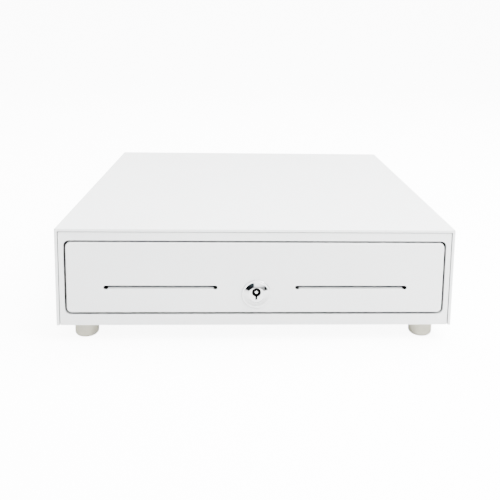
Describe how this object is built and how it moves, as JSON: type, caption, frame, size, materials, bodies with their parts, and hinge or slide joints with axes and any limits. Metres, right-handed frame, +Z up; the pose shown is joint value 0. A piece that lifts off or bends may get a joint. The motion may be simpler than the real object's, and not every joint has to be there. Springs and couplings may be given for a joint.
{
  "type": "cash drawer",
  "caption": "Low white steel cash drawer on rubber feet: sliding drawer with a till, note clips, coin cups, media slots, a key lock and a sprung latch.",
  "frame": {"origin": "middle of the case in plan, at the bottom of the feet", "axes": "+Z up, -Y out of the drawer's front, +X to the right of a person facing the front"},
  "size_m": [0.41, 0.4202, 0.121],
  "materials": {
    "white_paint": "satin powder coat",
    "foot_rubber": "matt moulded rubber",
    "zinc_fasteners": "bright zinc plate",
    "chrome": "polished",
    "bright_steel": "ground",
    "spring_steel": "oiled wire",
    "black_plastic": "fine moulded grain",
    "black_nylon": "satin",
    "circuit_board": "solder mask",
    "brass": "bright",
    "coil_tape": "polyester tape",
    "wire_insulation": "smooth",
    "zinc_plate": "zinc plate",
    "nickel_nut": "nickel plate",
    "galvanised_steel": "spangled zinc"
  },
  "bodies": {
    "case": {"cover": "white_paint", "base_pan": "galvanised_steel", "front_frame": "white_paint", "rear_panel": "white_paint", "foot_front_left": "foot_rubber", "foot_front_right": "foot_rubber", "foot_rear_left": "foot_rubber", "foot_rear_right": "foot_rubber", "foot_bolts": "zinc_fasteners", "case_screws": "zinc_fasteners", "rear_screws": "zinc_fasteners", "rail_left": "galvanised_steel", "rail_right": "galvanised_steel", "slide_outer_left": "galvanised_steel", "slide_outer_right": "galvanised_steel", "rail_screws": "zinc_fasteners", "latch_bracket": "galvanised_steel", "latch_pivot_pin": "bright_steel", "latch_spring": "spring_steel", "solenoid_frame": "galvanised_steel", "solenoid_coil": "coil_tape", "rear_bracket": "galvanised_steel", "bracket_screws": "zinc_fasteners", "ejector_tube": "black_nylon", "ejector_spring": "spring_steel", "switch_body": "black_nylon", "interface_board": "circuit_board", "board_standoffs": "brass", "rj_socket": "black_nylon", "socket_contacts": "brass", "wire_harness": "wire_insulation"},
    "drawer": {"drawer_front": "white_paint", "drawer_tray": "galvanised_steel", "slide_inner_left": "galvanised_steel", "slide_inner_right": "galvanised_steel", "drawer_screws": "zinc_fasteners", "till_ledges": "galvanised_steel", "lock_body": "chrome", "lock_nut": "nickel_nut", "striker_bracket": "galvanised_steel", "striker_pin": "bright_steel", "till_tray": "black_plastic", "coin_tray": "black_plastic", "clip_rod": "bright_steel", "clip_springs": "spring_steel"},
    "slide_middles": {"slide_middle_left": "galvanised_steel", "slide_middle_right": "galvanised_steel"},
    "outer_cages": {"outer_ball_cages": "galvanised_steel"},
    "inner_cages": {"inner_ball_cages": "galvanised_steel"},
    "lock": {"lock_plug": "chrome", "lock_shaft": "zinc_plate"},
    "hook": {"latch_hook": "zinc_plate"},
    "plunger": {"solenoid_plunger": "galvanised_steel"},
    "ejector": {"ejector_rod": "black_nylon"},
    "switch_lever": {"switch_lever": "galvanised_steel"},
    "clip_1": {"note_clip_1": "black_plastic"},
    "clip_2": {"note_clip_2": "black_plastic"},
    "clip_3": {"note_clip_3": "black_plastic"},
    "clip_4": {"note_clip_4": "black_plastic"},
    "clip_5": {"note_clip_5": "black_plastic"}
  },
  "joints": [
    {"name": "drawer_slide", "type": "slide", "parent": "case", "child": "drawer", "axis": [0, -1, 0], "range_m": [0, 0.32]},
    {"name": "slide_middle_travel", "type": "slide", "parent": "case", "child": "slide_middles", "axis": [0, -1, 0], "range_m": [0, 0.16]},
    {"name": "outer_cage_travel", "type": "slide", "parent": "case", "child": "outer_cages", "axis": [0, -1, 0], "range_m": [0, 0.08]},
    {"name": "inner_cage_travel", "type": "slide", "parent": "case", "child": "inner_cages", "axis": [0, -1, 0], "range_m": [0, 0.24]},
    {"name": "ejector_push", "type": "slide", "parent": "case", "child": "ejector", "axis": [0, -1, 0], "range_m": [0, 0.02]},
    {"name": "switch_lever_turn", "type": "hinge", "parent": "case", "child": "switch_lever", "pos_m": [0.0292, 0.1679, 0.0592], "axis": [0, 0, -1], "range_deg": [0, 12.5]},
    {"name": "lock_turn", "type": "hinge", "parent": "drawer", "child": "lock", "pos_m": [0, -0.2075, 0.052], "axis": [0, 1, 0], "range_deg": [-25, 90]},
    {"name": "hook_swing", "type": "hinge", "parent": "case", "child": "hook", "pos_m": [-0.016, 0.194, 0.062], "axis": [0, 0, -1], "range_deg": [0, 14.3], "stiffness_Nm_per_rad": 0.03, "springref_deg": -17.19},
    {"name": "plunger_pull", "type": "slide", "parent": "case", "child": "plunger", "axis": [-1, 0, 0], "range_m": [0, 0.00317]},
    {"name": "note_clip_1_lift", "type": "hinge", "parent": "drawer", "child": "clip_1", "pos_m": [-0.14, 0.139, 0.0939], "axis": [-1, 0, 0], "range_deg": [0, 30], "stiffness_Nm_per_rad": 0.02, "springref_deg": -20.05},
    {"name": "note_clip_2_lift", "type": "hinge", "parent": "drawer", "child": "clip_2", "pos_m": [-0.07, 0.139, 0.0939], "axis": [-1, 0, 0], "range_deg": [0, 30], "stiffness_Nm_per_rad": 0.02, "springref_deg": -20.05},
    {"name": "note_clip_3_lift", "type": "hinge", "parent": "drawer", "child": "clip_3", "pos_m": [0, 0.139, 0.0939], "axis": [-1, 0, 0], "range_deg": [0, 30], "stiffness_Nm_per_rad": 0.02, "springref_deg": -20.05},
    {"name": "note_clip_4_lift", "type": "hinge", "parent": "drawer", "child": "clip_4", "pos_m": [0.07, 0.139, 0.0939], "axis": [-1, 0, 0], "range_deg": [0, 30], "stiffness_Nm_per_rad": 0.02, "springref_deg": -20.05},
    {"name": "note_clip_5_lift", "type": "hinge", "parent": "drawer", "child": "clip_5", "pos_m": [0.14, 0.139, 0.0939], "axis": [-1, 0, 0], "range_deg": [0, 30], "stiffness_Nm_per_rad": 0.02, "springref_deg": -20.05}
  ],
  "couplings": [
    {"joint": "slide_middle_travel", "follows": "drawer_slide", "ratio": 0.5},
    {"joint": "outer_cage_travel", "follows": "drawer_slide", "ratio": 0.25},
    {"joint": "inner_cage_travel", "follows": "drawer_slide", "ratio": 0.75},
    {"joint": "ejector_push", "follows": "drawer_slide", "ratio": 0.0625},
    {"joint": "switch_lever_turn", "follows": "drawer_slide", "rad_per_m": 0.65},
    {"joint": "hook_swing", "follows": "plunger_pull", "rad_per_m": 76.9}
  ]
}
